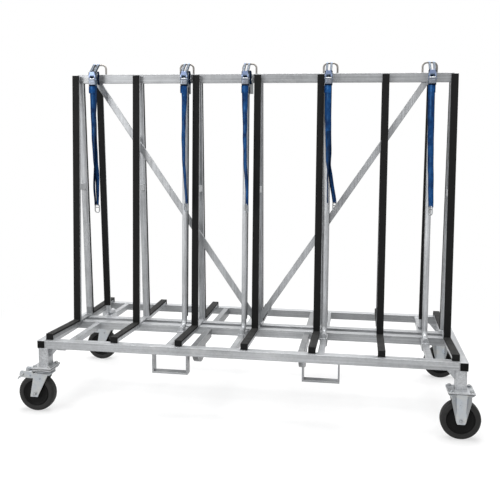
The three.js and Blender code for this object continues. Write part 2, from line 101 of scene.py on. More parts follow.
class Nodes:
    """Short calls for building a node material."""

    def __init__(self, name):
        self.material = bpy.data.materials.new(name)
        self.material.use_nodes = True
        self.tree = self.material.node_tree
        self.tree.nodes.clear()
        out = self.tree.nodes.new("ShaderNodeOutputMaterial")
        self.shader = self.tree.nodes.new("ShaderNodeBsdfPrincipled")
        self.tree.links.new(self.shader.outputs[0], out.inputs[0])
        self.place = self.add("ShaderNodeTexCoord").outputs["Object"]

    def add(self, kind, inputs=(), **settings):
        node = self.tree.nodes.new(kind)
        for key, value in settings.items():
            setattr(node, key, value)
        for key, value in dict(inputs).items():
            self.put(node.inputs[key], value)
        return node

    def put(self, socket, value):
        if isinstance(value, bpy.types.NodeSocket):
            self.tree.links.new(value, socket)
        else:
            socket.default_value = value

    def math(self, operation, a, b=0.0, clamp=False):
        node = self.add("ShaderNodeMath", {0: a, 1: b}, operation=operation, use_clamp=clamp)
        return node.outputs[0]

    def noise(self, scale, detail=3.0, stretch=(1, 1, 1), place=None):
        moved = self.add("ShaderNodeMapping", {"Vector": place or self.place, "Scale": stretch})
        inputs = {"Vector": moved.outputs[0], "Scale": scale, "Detail": detail, "Roughness": 0.6}
        return self.add("ShaderNodeTexNoise", inputs).outputs[0]

    def fit(self, value, low, high, to_low, to_high):
        inputs = {0: value, 1: low, 2: high, 3: to_low, 4: to_high}
        return self.add("ShaderNodeMapRange", inputs, clamp=True).outputs[0]

    def mix(self, factor, a, b, blend="MIX"):
        node = self.add("ShaderNodeMix", data_type="RGBA", blend_type=blend)
        self.put(node.inputs[0], factor)
        self.put(node.inputs[6], a)
        self.put(node.inputs[7], b)
        return node.outputs[2]

    def axes(self, place=None):
        return self.add("ShaderNodeSeparateXYZ", {0: place or self.place}).outputs

    def bump(self, height, strength, distance, normal=None):
        inputs = {"Strength": strength, "Distance": distance, "Height": height}
        if normal is not None:
            inputs["Normal"] = normal
        return self.add("ShaderNodeBump", inputs).outputs[0]

    def soft_edge(self, radius):
        return self.add("ShaderNodeBevel", {"Radius": radius}, samples=6).outputs[0]

    def edge_mask(self, rounded):
        flat = self.add("ShaderNodeNewGeometry").outputs["Normal"]
        dot = self.add("ShaderNodeVectorMath", {0: rounded, 1: flat}, operation="DOT_PRODUCT").outputs["Value"]
        return self.fit(dot, 0.8, 0.995, 1.0, 0.0)

    def top_mask(self):
        flat = self.add("ShaderNodeNewGeometry").outputs["Normal"]
        return self.fit(self.axes(flat)[2], 0.5, 0.95, 0.0, 1.0)

    def done(self, **sockets):
        names = {"color": "Base Color", "rough": "Roughness", "normal": "Normal", "metal": "Metallic"}
        names.update(coat="Coat Weight", coat_rough="Coat Roughness", specular="Specular IOR Level")
        names.update(sheen="Sheen Weight")
        for key, value in sockets.items():
            self.put(self.shader.inputs[names[key]], value)
        return self.material


def grey(value, tint=(1.0, 1.0, 1.0)):
    return (value * tint[0], value * tint[1], value * tint[2], 1.0)


# Hot-dip galvanised steel: streaks along the tube, faint spangle, a painted highlight along the edges with a line of
# painted shade inside it, optional painted highlight on tops and painted shade in zones
def galvanised(name, along=(1, 1, 1), level=0.5, edge=0.0034, painted_shades=(), lit_top=0.0, buckle_zone=False):
    n = Nodes(name)
    tint = (0.965, 0.99, 1.02)
    rounded = n.soft_edge(edge)
    patches = n.noise(3.2, 3.0)
    streaks = n.noise(150.0, 2.0, along)
    crystal = n.axes(n.add("ShaderNodeTexVoronoi", {"Vector": n.place, "Scale": 120.0}).outputs["Color"])[0]
    grain = n.noise(750.0, 2.0)
    tone = n.math("ADD", n.math("MULTIPLY", patches, 0.4), n.math("MULTIPLY", streaks, 0.54))
    tone = n.math("ADD", tone, n.math("MULTIPLY", crystal, 0.06))
    colour = n.mix(n.fit(tone, 0.36, 0.64, 0.0, 1.0), grey(level * 0.7, tint), grey(level * 1.28, tint))
    # Painted highlight on upward faces
    if lit_top:
        colour = n.mix(n.math("MULTIPLY", n.top_mask(), lit_top), colour, grey(0.85, tint))
    # Painted shade: zones chosen by axis and limit are darkened
    for axis, sign, limit, shade in painted_shades:
        zone = n.math("GREATER_THAN", n.math("MULTIPLY", n.axes()[axis], sign), limit)
        colour = n.mix(n.math("MULTIPLY", zone, shade), colour, grey(level * 0.2, tint))
    # Painted highlight along the rounded edges (rim), and a line of painted shade just inside it
    rim = n.edge_mask(rounded)
    wide = n.edge_mask(n.soft_edge(edge * 2.6))
    line = n.math("SUBTRACT", wide, rim, clamp=True)
    colour = n.mix(n.math("MULTIPLY", line, 0.62), colour, grey(level * 0.35, tint))
    colour = n.mix(n.math("MULTIPLY", rim, 0.6), colour, grey(min(0.92, level * 1.85), tint))
    bloom = n.fit(n.noise(11.0, 3.0), 0.55, 0.75, 0.0, 0.3)
    colour = n.mix(bloom, colour, grey(min(0.9, level * 1.4), (1.0, 1.0, 0.99)))
    if buckle_zone:
        x, y, z = n.axes()[:3]
        front = n.math("LESS_THAN", y, -0.0502)
        low = n.math("GREATER_THAN", z, 1.6725)
        above = n.math("GREATER_THAN", z, 1.7388)
        blue = n.mix(n.fit(streaks, 0.35, 0.65, 0.0, 1.0), grey(0.05, (0.62, 1.0, 1.5)), grey(0.2, (0.7, 1.0, 1.35)))
        colour = n.mix(n.math("MULTIPLY", front, low), colour, blue)
        # Hook prongs dark and bluish, darker still as painted shade inside the bow
        hook = n.math("MULTIPLY", above, n.math("LESS_THAN", y, -0.0065))
        steel = n.mix(n.fit(streaks, 0.35, 0.65, 0.0, 1.0), grey(0.012, (0.6, 1.0, 1.6)), grey(0.07, (0.7, 1.0, 1.4)))
        colour = n.mix(hook, colour, steel)
        wire = n.math("MULTIPLY", above, n.math("GREATER_THAN", y, -0.0065))
        colour = n.mix(wire, colour, grey(0.26, (1.06, 1.0, 0.94)))
    rough = n.fit(n.math("ADD", n.math("MULTIPLY", crystal, 0.3), n.math("MULTIPLY", streaks, 0.7)), 0.3, 0.7, 0.3, 0.5)
    height = n.math("ADD", n.math("MULTIPLY", grain, 0.3), streaks)
    normal = n.bump(height, 0.25, 0.0006, rounded)
    return n.done(color=colour, rough=rough, normal=normal, metal=0.5)


# Bright zinc plating with a faint blue and straw cast, and a painted highlight along its edges
def zinc_plated(name, level=0.55, cool=0.0, flange=None):
    n = Nodes(name)
    rounded = n.soft_edge(0.0011)
    cast = n.noise(24.0, 4.0)
    fine = n.noise(420.0, 3.0)
    scuff = n.fit(n.noise(60.0, 5.0, (1.0, 1.0, 3.0)), 0.55, 0.75, 0.0, 0.5)
    dull = grey(level, (0.9 - cool * 0.6, 0.99 - cool * 0.2, 1.1 + cool))
    clear = grey(level * 1.15, (1.0 - cool * 0.6, 1.0 - cool * 0.2, 0.96 + cool))
    colour = n.mix(n.fit(cast, 0.3, 0.7, 0.0, 1.0), dull, clear)
    colour = n.mix(scuff, colour, grey(level * 0.7, (0.95, 0.98, 1.0)))
    if flange:
        middle, half = flange
        off = n.math("ABSOLUTE", n.math("SUBTRACT", n.axes()[0], middle))
        colour = n.mix(n.fit(off, half - 0.004, half + 0.001, 0.0, 0.6), colour, grey(level * 0.35, (0.97, 1.0, 1.02)))
    # Painted highlight along the rounded edges
    colour = n.mix(n.math("MULTIPLY", n.edge_mask(rounded), 0.6), colour, grey(0.88, (0.98, 1.0, 1.0)))
    rough = n.fit(n.math("ADD", cast, n.math("MULTIPLY", fine, 0.3)), 0.3, 1.0, 0.22, 0.42)
    normal = n.bump(fine, 0.2, 0.0004, rounded)
    return n.done(color=colour, rough=rough, normal=normal, metal=0.75)


# Charcoal rubber with fine ribs along the strip, painted shade in the rib troughs, and dust with a painted highlight on
# what faces up
def ribbed_rubber(name, pitch=0.0042, level=0.009):
    n = Nodes(name)
    rounded = n.soft_edge(0.0016)
    x = n.axes()[0]
    wave = n.math("SINE", n.math("MULTIPLY", x, 2 * math.pi / pitch))
    cloud = n.noise(9.0, 5.0)
    fine = n.noise(600.0, 2.0)
    # Dust and painted highlight together on upward faces
    dust = n.math("MULTIPLY", n.top_mask(), n.fit(n.noise(34.0, 6.0), 0.35, 0.75, 0.25, 0.8))
    colour = n.mix(n.fit(cloud, 0.3, 0.7, 0.0, 1.0), grey(level * 0.8), grey(level * 1.5, (0.98, 1.0, 1.02)))
    # Painted shade in the troughs of the ribs
    colour = n.mix(n.fit(wave, -1.0, 0.2, 0.45, 0.0), colour, grey(level * 0.35))
    colour = n.mix(n.math("MULTIPLY", dust, 0.5), colour, grey(0.06, (1.0, 0.99, 0.97)))
    colour = n.mix(n.math("MULTIPLY", n.edge_mask(rounded), 0.35), colour, grey(0.045))
    rough = n.fit(cloud, 0.3, 0.7, 0.55, 0.8)
    height = n.math("ADD", n.math("MULTIPLY", wave, 0.5), n.math("MULTIPLY", fine, 0.25))
    normal = n.bump(height, 0.5, 0.0009, rounded)
    return n.done(color=colour, rough=rough, normal=normal, specular=0.15)


# Tyre rubber, its tread crossed by fine lines (U round the wheel, V across the profile)
def tyre_rubber(name):
    n = Nodes(name)
    uv = n.add("ShaderNodeTexCoord").outputs["UV"]
    u, v = n.axes(uv)[:2]
    one = n.math("SINE", n.math("MULTIPLY", n.math("ADD", u, n.math("MULTIPLY", v, 0.35)), 2 * math.pi * 90))
    two = n.math("SINE", n.math("MULTIPLY", n.math("SUBTRACT", u, n.math("MULTIPLY", v, 0.35)), 2 * math.pi * 90))
    hatch = n.math("MAXIMUM", one, two)
    tread = n.fit(n.math("ABSOLUTE", n.math("SUBTRACT", v, 0.5)), 0.1, 0.16, 1.0, 0.0)
    cloud = n.noise(30.0, 5.0)
    dust = n.fit(n.noise(55.0, 6.0), 0.45, 0.8, 0.0, 0.7)
    colour = n.mix(n.fit(cloud, 0.3, 0.7, 0.0, 1.0), grey(0.01), grey(0.022, (1.0, 0.99, 0.97)))
    colour = n.mix(n.math("MULTIPLY", dust, 0.4), colour, grey(0.06, (1.0, 0.98, 0.94)))
    rough = n.fit(cloud, 0.3, 0.7, 0.5, 0.72)
    height = n.math("ADD", n.math("MULTIPLY", hatch, tread), n.math("MULTIPLY", n.noise(500.0, 2.0), 0.3))
    normal = n.bump(height, 0.5, 0.0008)
    return n.done(color=colour, rough=rough, normal=normal, specular=0.3)


# Moulded black plastic with a fine grain
def black_plastic(name, level=0.012):
    n = Nodes(name)
    rounded = n.soft_edge(0.0012)
    grain = n.noise(900.0, 2.0)
    cloud = n.noise(22.0, 4.0)
    colour = n.mix(n.fit(cloud, 0.3, 0.7, 0.0, 1.0), grey(level * 0.8), grey(level * 1.6))
    colour = n.mix(n.math("MULTIPLY", n.edge_mask(rounded), 0.4), colour, grey(0.02))
    rough = n.fit(cloud, 0.3, 0.7, 0.38, 0.58)
    return n.done(color=colour, rough=rough, normal=n.bump(grain, 0.35, 0.0004, rounded), specular=0.08)


# Woven webbing (U across the width, V along it in metres), with a painted highlight streak and painted shade between
# the threads
def webbing(name, level=1.0):
    n = Nodes(name)
    uv = n.add("ShaderNodeTexCoord").outputs["UV"]
    u, v = n.axes(uv)[:2]
    across = n.math("SINE", n.math("MULTIPLY", u, 2 * math.pi * 17))
    rows = n.math("MULTIPLY", v, 2 * math.pi / 0.0021)
    along = n.math("SINE", n.math("ADD", rows, n.math("MULTIPLY", n.math("SIGN", across), 1.57)))
    weave = n.math("MULTIPLY", n.math("ADD", n.math("ABSOLUTE", across), along), 0.5)
    rim = n.fit(n.math("ABSOLUTE", n.math("SUBTRACT", u, 0.5)), 0.32, 0.46, 0.0, 1.0)
    fade = n.noise(14.0, 5.0)
    colour = n.mix(
        n.fit(fade, 0.4, 0.6, 0.0, 1.0),
        (0.003 * level, 0.024 * level, 0.095 * level, 1.0),
        (0.011 * level, 0.082 * level, 0.26 * level, 1.0),
    )
    # Painted highlight: a lighter streak down the webbing, broken by noise
    painted_sheen = n.fit(n.math("ABSOLUTE", n.math("SUBTRACT", u, 0.42)), 0.0, 0.2, 0.8, 0.0)
    painted_sheen = n.math("MULTIPLY", painted_sheen, n.fit(n.noise(22.0, 3.0), 0.4, 0.62, 0.0, 1.0))
    colour = n.mix(painted_sheen, colour, (0.06 * level, 0.2 * level, 0.48 * level, 1.0))
    # Painted shade between the threads of the weave
    colour = n.mix(n.fit(weave, -0.4, 0.6, 0.45, 0.0), colour, (0.003 * level, 0.018 * level, 0.085 * level, 1.0))
    dark = math.sqrt(level)
    colour = n.mix(n.math("MULTIPLY", rim, 0.8), colour, (0.004 * dark, 0.024 * dark, 0.075 * dark, 1.0))
    fluff = n.noise(1100.0, 2.0)
    height = n.math("ADD", weave, n.math("MULTIPLY", fluff, 0.4))
    return n.done(color=colour, rough=n.fit(fade, 0.3, 0.7, 0.6, 0.8), normal=n.bump(height, 0.6, 0.0006), sheen=0.02, specular=0.08)


# Painted shade: the middle rails, and still more the rear rail, are set darker than the front rail; zones of painted
# shade darken the front rail's beams and fork loops, the rear rail's inner side and the end rib's lower end; the rear
# rail's upward faces get a painted highlight
LENGTHWISE = galvanised("galvanised_lengthwise", (0.012, 1, 1), level=0.43)
FRONT_RAIL = galvanised("galvanised_front_rail", (0.012, 1, 1), level=0.46, painted_shades=[(1, 1, -0.3605, 0.6), (2, -1, -0.3295, 0.4)])
REAR_RAIL = galvanised("galvanised_rear_rail", (0.012, 1, 1), level=0.33, painted_shades=[(1, -1, -0.3595, 0.5)], lit_top=0.35)
CROSSWISE = galvanised("galvanised_crosswise", (1, 0.012, 1), level=0.5)
UPRIGHT = galvanised("galvanised_upright", (1, 1, 0.012), level=0.44)
END_RIB = galvanised("galvanised_end_rib", (1, 1, 0.012), level=0.42, painted_shades=[(2, -1, -0.425, 0.5)])
TOP_RAIL = galvanised("galvanised_top_rail", (0.012, 1, 1), level=0.36, buckle_zone=True)
BAR = galvanised("galvanised_bar", (1, 1, 0.012), level=0.5, buckle_zone=True)
WELD = galvanised("galvanised_weld", level=0.44, edge=0.001)
PALE = galvanised("galvanised_plate", (1, 1, 0.012), level=0.55, edge=0.002)
ZINC = zinc_plated("zinc_plated", level=0.3)
FORK = zinc_plated("zinc_fork", level=0.42)
FIXED_FORK = zinc_plated("zinc_fixed_fork", level=0.44, flange=((RIGHT_WHEEL_X + SHIFT) / 1000, 0.026))
DULL_ZINC = zinc_plated("zinc_dull", level=0.2, cool=0.06)
RUBBER = ribbed_rubber("ribbed_rubber")
TYRE = tyre_rubber("tyre_rubber")
CORE = black_plastic("wheel_core", level=0.008)
PLASTIC = black_plastic("black_plastic", level=0.004)
WEBBING = webbing("webbing")
# Lit and shaded copies of the webbing: the lit copy is painted highlight, the two darker copies are painted shade
WEBBING_LIT = webbing("webbing_lit", level=1.55)
WEBBING_DARK = webbing("webbing_shade", level=0.45)
WEBBING_DEEP_SHADE = webbing("webbing_deep_shade", level=0.16)
BLUE_ZINC = zinc_plated("zinc_blue", level=0.27, cool=0.42)
SILVER = zinc_plated("zinc_silver", level=0.2, cool=0.14)
# Painted highlight: near-white zinc for the roll on the lever's top
PAINTED_HIGHLIGHT_ZINC = zinc_plated("zinc_painted_highlight", level=0.8)

for name, obj in frame["nodes"].items():
    if "strip" in name:
        look = RUBBER
    elif "wheel" in name:
        look = TYRE
    elif "strap_ring" in name or "lever" in name:
        look = ZINC
    elif name.startswith("strap"):
        look = WEBBING
    elif name.endswith("right_fork"):
        look = FIXED_FORK
    elif "fork" in name or "pedal" in name:
        look = FORK
    elif name == "top_rail":
        look = TOP_RAIL
    elif name == "front_rail":
        look = FRONT_RAIL
    elif name == "rear_rail":
        look = REAR_RAIL
    elif "bar_" in name:
        look = BAR
    elif "rail" in name:
        look = LENGTHWISE
    elif name == "a_frame_1":
        look = END_RIB
    elif "end_frame" in name:
        look = CROSSWISE
    else:
        look = UPRIGHT
    obj.data.materials.clear()
    obj.data.materials.append(look)

# ---------------------------------------------------------------- building pieces


class Shape:
    """Collects vertices and faces in metres, then makes one piece of them."""

    def __init__(self):
        self.verts = []
        self.faces = []
        self.uvs = []

    def put(self, verts, faces, uvs=None):
        base = len(self.verts)
        self.verts.extend(Vector(v) for v in verts)
        for i, face in enumerate(faces):
            self.faces.append([base + j for j in face])
            self.uvs.append(uvs[i] if uvs else [(0.0, 0.0)] * len(face))

    # Rings of points joined one to the next, with the ends filled
    def loft(self, rings, closed=True, ends=True, uv=None):
        count = len(rings[0])
        verts = [p for ring in rings for p in ring]
        faces, coords = [], []
        for i in range(len(rings) - 1):
            for j in range(count if closed else count - 1):
                k = (j + 1) % count
                faces.append([i * count + j, i * count + k, (i + 1) * count + k, (i + 1) * count + j])
                if uv:
                    coords.append([uv(i, j), uv(i, j + 1), uv(i + 1, j + 1), uv(i + 1, j)])
        if ends:
            last = (len(rings) - 1) * count
            faces.append(list(reversed(range(count))))
            faces.append([last + j for j in range(count)])
            if uv:
                coords.append([uv(0, j) for j in reversed(range(count))])
                coords.append([uv(len(rings) - 1, j) for j in range(count)])
        self.put(verts, faces, coords or None)

    # Round section along a line of points; radius may change from point to point
    def tube(self, points, radius, sides=12):
        rings = []
        normal = None
        for i, p in enumerate(points):
            ahead = (points[min(i + 1, len(points) - 1)] - points[max(i - 1, 0)]).normalized()
            if normal is None:
                normal = ahead.orthogonal().normalized()
            normal = (normal - ahead * normal.dot(ahead)).normalized()
            side = ahead.cross(normal)
            r = radius[i] if isinstance(radius, list) else radius
            turns = [2 * math.pi * j / sides for j in range(sides)]
            rings.append([p + r * (math.cos(t) * normal + math.sin(t) * side) for t in turns])
        self.loft(rings)

    # Profile of (radius, along) turned about an axis
    def turned(self, centre, axis, profile, sides=48, ends=True):
        axis = Vector(axis).normalized()
        one = axis.orthogonal().normalized()
        two = axis.cross(one)
        rings = []
        for r, h in profile:
            turns = [2 * math.pi * j / sides for j in range(sides)]
            rings.append([centre + axis * h + r * (math.cos(t) * one + math.sin(t) * two) for t in turns])
        steps = len(profile) - 1
        self.loft(rings, ends=ends, uv=lambda i, j: (j / sides, i / steps))

    # Box with rounded edges, by two corners
    def block(self, low, high, round_by=0.001, steps=2):
        mesh = bmesh.new()
        size = [abs(high[i] - low[i]) for i in range(3)]
        middle = [(high[i] + low[i]) / 2 for i in range(3)]
        bmesh.ops.create_cube(mesh, size=1, matrix=Matrix.Translation(middle) @ Matrix.Diagonal((*size, 1)))
        bmesh.ops.bevel(
            mesh, geom=mesh.edges[:], offset=round_by, segments=steps, profile=0.5, affect="EDGES"
        )
        mesh.verts.index_update()
        self.put([v.co.copy() for v in mesh.verts], [[v.index for v in f.verts] for f in mesh.faces])
        mesh.free()

    # Outline in a plane, pushed along a direction, with its rims broken
    def plate(self, outline, along, break_by=0.0006):
        middle = sum(outline, Vector()) / len(outline)
        inner = [p + (middle - p).normalized() * break_by for p in outline]
        step = along.normalized() * break_by
        rings = [inner, [p + step for p in outline], [p + along - step for p in outline], [p + along for p in inner]]
        self.loft(rings)

    # Hexagon head on a washer
    def bolt(self, place, axis, flats=0.013, tall=0.006, washer=0.0):
        axis = Vector(axis).normalized()
        if washer:
            self.turned(place, axis, [(washer * 0.96, 0), (washer, 0.0004), (washer, 0.0014), (washer * 0.96, 0.0018)], 24)
            place = place + axis * 0.0018
        r = flats / math.sqrt(3)
        self.turned(place, axis, [(r, 0), (r, tall * 0.82), (r * 0.88, tall)], 6)
        self.turned(place + axis * tall, axis, [(r * 0.62, -0.0005), (r * 0.56, 0.0004)], 16)

    # Weld bead with ripples
    def bead(self, start, end, radius=0.0028):
        length = (end - start).length
        count = max(6, int(length / 0.0022))
        points = [start.lerp(end, i / count) for i in range(count + 1)]
        radii = [radius * (0.86 + 0.16 * math.sin(i * 2.1) + 0.06 * math.sin(i * 0.37)) for i in range(count + 1)]
        radii[0] = radii[-1] = radius * 0.5
        self.tube(points, radii, 8)

    def make(self, name, material, body, angle=35, subdivide=0):
        mesh = bpy.data.meshes.new(name)
        mesh.from_pydata(self.verts, [], self.faces)
        layer = mesh.uv_layers.new(name="UVMap")
        for polygon, coords in zip(mesh.polygons, self.uvs):
            for loop, uv in zip(polygon.loop_indices, coords):
                layer.data[loop].uv = uv
        mesh.validate()
        mesh.materials.append(material)
        mesh.shade_smooth()
        mesh.set_sharp_from_angle(angle=math.radians(angle))
        obj = bpy.data.objects.new(name, mesh)
        scene.collection.objects.link(obj)
        if subdivide:
            obj.modifiers.new("smooth", "SUBSURF").levels = subdivide
            obj.modifiers["smooth"].render_levels = subdivide
        if body:
            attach(obj, body)
        return obj


def curve_through(points, count):
    """Even steps along a smooth curve through the points."""
    fine = []
    for i in range(len(points) - 1):
        p0, p1 = points[max(i - 1, 0)], points[i]
        p2, p3 = points[i + 1], points[min(i + 2, len(points) - 1)]
        for k in range(20):
            t = k / 20
            fine.append(
                0.5 * (2 * p1 + (p2 - p0) * t + (2 * p0 - 5 * p1 + 4 * p2 - p3) * t * t
                       + (3 * p1 - p0 - 3 * p2 + p3) * t ** 3)
            )
    fine.append(points[-1].copy())
    lengths = [0.0]
    for a, b in zip(fine, fine[1:]):
        lengths.append(lengths[-1] + (b - a).length)
    out, j = [], 0
    for i in range(count + 1):
        want = lengths[-1] * i / count
        while j < len(fine) - 2 and lengths[j + 1] < want:
            j += 1
        span = max(lengths[j + 1] - lengths[j], 1e-9)
        out.append(fine[j].lerp(fine[j + 1], min(1.0, max(0.0, (want - lengths[j]) / span))))
    return out, lengths[-1]


def smooth_value(values, t):
    place = t * (len(values) - 1)
    i = min(int(place), len(values) - 2)
    f = place - i
    f = f * f * (3 - 2 * f)
    return values[i] * (1 - f) + values[i + 1] * f


# ---------------------------------------------------------------- straps

STRAP_WIDE = 0.035
STRAP_THICK = 0.0022


def strap_out(z, plumb):
    return 57.9 if plumb else 57.9 + (1696 - z) * math.tan(LEAN)


def ribbon(name, route, turns, plumb, material, body, lift=0.0, wide=STRAP_WIDE):
    """Webbing through points (x, z), turned about its length by the angles in degrees."""
    points = []
    for i, (x, z) in enumerate(route):
        turn = smooth_value(turns, i / (len(route) - 1))
        stand_off = wide * 500 * abs(math.sin(math.radians(turn)))
        points.append(at(x, -strap_out(z, plumb) - stand_off - lift, z))
    count = 90
    path, length = curve_through(points, count)
    shape = Shape()
    rings = []
    for i, p in enumerate(path):
        t = i / count
        turn = math.radians(smooth_value(turns, t))
        ahead = (path[min(i + 1, count)] - path[max(i - 1, 0)]).normalized()
        across = Vector((math.cos(turn), -math.sin(turn), 0))
        across = (across - ahead * across.dot(ahead)).normalized()
        off = ahead.cross(across).normalized()
        w = wide / 2
        h = STRAP_THICK / 2
        section = [(-w, 0), (-w * 0.94, h * 0.8), (-w * 0.5, h), (0, h), (w * 0.5, h), (w * 0.94, h * 0.8)]
        section += [(w, 0), (w * 0.94, -h * 0.8), (w * 0.5, -h), (0, -h), (-w * 0.5, -h), (-w * 0.94, -h * 0.8)]
        cup = 0.0012 * math.sin(9 * t + len(name)) + 0.0008 * math.sin(31 * t)
        rings.append([p + across * a + off * (b + cup * (a / w) ** 2) for a, b in section])
    spread = [0, 0.03, 0.25, 0.5, 0.75, 0.97, 1.0, 0.97, 0.75, 0.5, 0.25, 0.03, 0]
    shape.loft(rings, uv=lambda i, j: (spread[j], length * i / count))
    obj = shape.make(name, material, body, angle=50)
    return obj, path, length


def oval_ring(name, x, z, out, turn, body, wide=30, tall=50, wire=3.1):
    """Wire ring with straight sides, hung from the end of a strap."""
    shape = Shape()
    r = wide / 2 - wire
    half = tall / 2 - wire - r
    loop = []
    for i in range(49):
        a = 2 * math.pi * i / 48
        side = half if math.sin(a) > 0 else -half
        along, up = r * math.cos(a), r * math.sin(a) + side
        loop.append(at(x + along * math.cos(turn), -out - along * math.sin(turn), z + up))
    shape.tube(loop, wire / 1000, 10)
    bar = [at(x - r * math.cos(turn), -out + r * math.sin(turn), z + half * 0.6)]
    bar.append(at(x + r * math.cos(turn), -out - r * math.sin(turn), z + half * 0.6))
    shape.tube(bar, wire * 0.8 / 1000, 10)
    return shape.make(name, ZINC, body)


ROUTES = {
    1: [(-895, 1690), (-896, 1599), (-894, 1493), (-891, 1386), (-886, 1278), (-880, 1207), (-877, 1130), (-879, 1030)],
    2: [(-388, 1690), (-387, 1599), (-388, 1495), (-388, 1390), (-385, 1285), (-379, 1179), (-373, 1100), (-371, 1050)],
    3: [(-60, 1690), (-62, 1599), (-59, 1445), (-55, 1289), (-49, 1185), (-44, 1133), (-45, 1080), (-45, 1050)],
    4: [(372, 1690), (371, 1600), (374, 1448), (379, 1346), (381, 1269), (389, 1218), (401, 1151), (414, 1070)],
    5: [(888, 1690), (887, 1600), (888, 1501), (891, 1351), (895, 1201), (898, 1060)],
}
TURNS = {
    1: [8, 9, 10, 12, 16, 22, 34, 46],
    2: [4, 22, 34, 38, 42, 46, 50, 54],
    3: [0, 16, 34, 40, 46, 48, 52, 54],
    4: [0, 8, 14, 18, 28, 46, 50, 50],
    5: [0, 20, 32, 38, 42, 50],
}
SECOND = {
    1: ([(-872, 1672), (-880, 1545), (-888, 1400), (-893, 1225), (-894, 1130), (-889, 1030)], [52, 50, 50, 60, 82, 80]),
    4: ([(374, 1440), (378, 1320), (377, 1233), (376, 1166), (378, 1072)], [40, 60, 74, 78, 78]),
}

RING_TURN = {1: -4, 2: 26, 3: 35, 4: 44, 5: 53}

for n, route in ROUTES.items():
    plumb = n not in FRONT_BARS
    body = "frame" if plumb else f"front_bar_{n}"
    main, path, length = ribbon(f"webbing_{n}", route, TURNS[n], plumb, WEBBING, body)
    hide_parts(f"strap_{n}")
    x, z = route[-1]
    low = path[-1]
    ring = oval_ring(f"ring_{n}", x, z - 17, -low.y * 1000, math.radians(RING_TURN[n]), body)
    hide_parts(f"strap_ring_{n}")
    # Second strand behind the first, in webbing painted darker as shade
    if n in SECOND:
        way, turns = SECOND[n]
        lift = -3.4
        second, path, length = ribbon(f"webbing_{n}_return", way, turns, plumb, WEBBING_DARK, body, lift=lift)

# ---------------------------------------------------------------- buckles

ACROSS = [0, 0.25, 0.5, 0.75, 1.0, 1.0, 0.75, 0.5, 0.25, 0, 0]

for n, x in enumerate(STATION_X, 1):
    body = "frame" if n not in FRONT_BARS else f"front_bar_{n}"
    out = PIVOT_OUT
    # Lever: bent thumb plate with a rolled top and stamped ribs
    lever = Shape()
    half = 17.1
    side = [(4.9, 1706), (4, 1711.5), (0, 1714), (-4.5, 1713), (-6.3, 1709), (-5.2, 1705), (-5.4, 1698),
            (-5, 1688), (-5.4, 1681), (-3.6, 1679), (-1.5, 1681), (2, 1690), (2.5, 1700)]
    rings = []
    for u in (-half, -half + 1.2, -half * 0.5, half * 0.5, half - 1.2, half):
        squeeze = 0.9 if abs(u) == half else 1.0
        rings.append([at(x + u, -out - 1 + (y + 1) * squeeze, 1696 + (z - 1696) * squeeze) for y, z in side])
    lever.loft(rings)
    for u in (-9, 0, 9):
        lever.block(at(x + u - 2.2, -out - 6.6, 1685), at(x + u + 2.2, -out - 4.2, 1699), 0.0007)
    piece = lever.make(f"lever_plate_{n}", SILVER, f"buckle_lever_{n}")
    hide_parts(f"buckle_lever_{n}")
    # Painted highlight: a bright roll along the lever's top stands for the gleam below the slot
    roll = Shape()
    roll.tube([at(x + u, -out - 5.6, 1709.8) for u in (-14.5, -13.5, -5, 5, 13.5, 14.5)], [0.0012, 0.002, 0.0021, 0.0021, 0.002, 0.0012], 12)
    roll.make(f"lever_roll_{n}", PAINTED_HIGHLIGHT_ZINC, f"buckle_lever_{n}")
    # Neck plate, slot lips, axle rivets and the rolled tips of the hook
    trim = Shape()
    neck = [at(x + u, -out - 3, z) for u, z in ((-17, 1727), (17, 1727), (12.5, 1747), (-12.5, 1747))]
    trim.plate(neck, Vector((0, -0.0024, 0)))
    for end in (-1, 1):
        head = [(0.0048, -0.0006), (0.0048, 0.0008), (0.0032, 0.0021)]
        trim.turned(at(x + end * 19.5, -out, 1706), (end, 0, 0), head, 20)
        trim.block(at(x + end * 15 - 4, -out - 5.3, 1714), at(x + end * 15 + 4, -out - 0.5, 1729), 0.0012)
        trim.tube([at(x + end * 11 - 5.4, -10, 1791), at(x + end * 11 + 5.4, -10, 1791)], 0.0044, 12)
    trim.make(f"buckle_trim_{n}", BLUE_ZINC, body)
    # Webbing that shows in the slot and its turned end under the lever, both painted dark as shade, and the bulge below
    # them, painted lighter as highlight
    folds = [("slot", WEBBING_DEEP_SHADE, [(1715.5, 1727, -2.6, 15.5, 0), (1672.6, 1679.4, 2.2, 18.2, 0)])]
    folds.append(("bulge", WEBBING_LIT, [(1634, 1672, 0.4, 18.8, -2)]))
    for tag, look, places in folds:
        fold = Shape()
        for low, high, depth, wide, aside in places:
            rings = []
            for i in range(13):
                a = math.pi * i / 12
                y, z = -out - depth - 2.2 * math.sin(a), (low + high) / 2 + (high - low) / 2 * math.cos(a)
                near = [at(x + aside + u * wide, y, z) for u in (-1, -0.5, 0, 0.5, 1)]
                rings.append(near + [at(x + aside + u * wide, y + 1.4, z) for u in (1, 0.5, 0, -0.5, -1)])
            fold.loft(rings, uv=lambda i, j: (ACROSS[j], (high - low) * i / 12000))
        fold.make(f"webbing_{tag}_{n}", look, body)
    # Tail of webbing beside the buckle, painted dark: partly a real webbing tail, partly the buckle's painted shadow on
    # the rail
    if n < 4:
        tail = Shape()
        rings = []
        for i in range(17):
            t = i / 16
            z = 1752 - 70 * t
            u = 20 + 4 * math.sin(2.4 * t) + 2 * math.sin(7 * t)
            y = -40 - 6 * math.sin(3.1 * t)
            rings.append([at(x + u - 5, y, z), at(x + u + 5, y + 5, z), at(x + u + 5.6, y + 3.6, z), at(x + u - 4.4, y - 1.4, z)])
        tail.loft(rings)
        tail.make(f"webbing_tail_{n}", WEBBING_DEEP_SHADE, body)

# ---------------------------------------------------------------- rubber on the bars

def bar_out(z):
    return 85.3 - (z - 390.07) * math.tan(LEAN)


